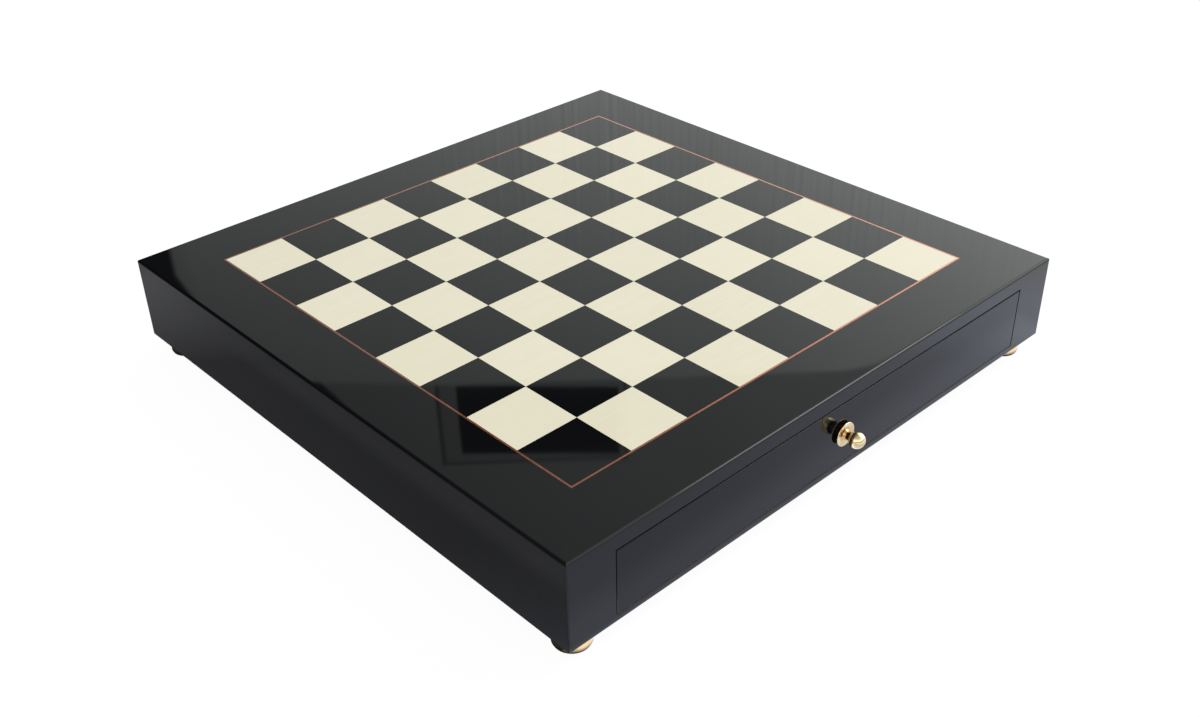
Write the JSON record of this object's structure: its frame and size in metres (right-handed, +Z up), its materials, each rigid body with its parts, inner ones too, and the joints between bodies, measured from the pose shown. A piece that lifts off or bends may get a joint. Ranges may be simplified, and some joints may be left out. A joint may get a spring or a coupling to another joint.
{
  "type": "chess box with drawers",
  "caption": "Low lacquered case whose inlaid top is a chessboard, with a divided drawer sliding out of the front and the rear, turned brass knobs and brass feet.",
  "frame": {"origin": "at floor level, under the middle of the case", "axes": "+Z up; the front drawer faces -Y and slides out along -Y, the rear drawer along +Y; +X is to the right of a player who sits at the front drawer"},
  "size_m": [0.5, 0.5354, 0.0818],
  "materials": {
    "black_lacquer": "black high-gloss polyester lacquer on medium-density fibreboard",
    "ivory_veneer": "bleached pale veneer under clear high-gloss lacquer",
    "copper_inlay": "thin copper strip, flush with the veneers, under clear high-gloss lacquer",
    "brass": "turned, polished and clear-coated brass",
    "birch_ply": "sanded birch plywood with a thin satin varnish",
    "beech": "planed plain beech",
    "green_felt": "dark green wool felt",
    "dark_felt": "dark brown felt pad",
    "steel": "zinc-plated steel"
  },
  "bodies": {
    "case": {"bottom_panel": "black_lacquer", "left_wall": "black_lacquer", "right_wall": "black_lacquer", "centre_divider": "birch_ply", "top_panel": "black_lacquer", "light_squares": "ivory_veneer", "dark_squares": "black_lacquer", "foot_screws": "steel", "front_left_post": "black_lacquer", "front_left_guide": "beech", "front_left_foot": "brass", "front_left_foot_pad": "dark_felt", "front_right_post": "black_lacquer", "front_right_guide": "beech", "front_right_foot": "brass", "front_right_foot_pad": "dark_felt", "rear_right_post": "black_lacquer", "rear_right_guide": "beech", "rear_right_foot": "brass", "rear_right_foot_pad": "dark_felt", "rear_left_post": "black_lacquer", "rear_left_guide": "beech", "rear_left_foot": "brass", "rear_left_foot_pad": "dark_felt", "front_border": "black_lacquer", "front_stringing": "copper_inlay", "right_border": "black_lacquer", "right_stringing": "copper_inlay", "rear_border": "black_lacquer", "rear_stringing": "copper_inlay", "left_border": "black_lacquer", "left_stringing": "copper_inlay"},
    "front_drawer": {"front_drawer_face": "black_lacquer", "front_drawer_left_side": "birch_ply", "front_drawer_right_side": "birch_ply", "front_drawer_back": "birch_ply", "front_drawer_bottom": "birch_ply", "front_drawer_lining": "green_felt", "front_drawer_long_partition": "birch_ply", "front_drawer_cross_partitions": "birch_ply", "front_drawer_dowels": "beech", "front_knob": "brass", "front_knob_screw": "steel"},
    "rear_drawer": {"rear_drawer_face": "black_lacquer", "rear_drawer_left_side": "birch_ply", "rear_drawer_right_side": "birch_ply", "rear_drawer_back": "birch_ply", "rear_drawer_bottom": "birch_ply", "rear_drawer_lining": "green_felt", "rear_drawer_long_partition": "birch_ply", "rear_drawer_cross_partitions": "birch_ply", "rear_drawer_dowels": "beech", "rear_knob": "brass", "rear_knob_screw": "steel"}
  },
  "joints": [
    {"name": "front_drawer_slide", "type": "slide", "parent": "case", "child": "front_drawer", "axis": [0, -1, 0], "range_m": [0, 0.205]},
    {"name": "rear_drawer_slide", "type": "slide", "parent": "case", "child": "rear_drawer", "axis": [0, 1, 0], "range_m": [0, 0.205]}
  ]
}
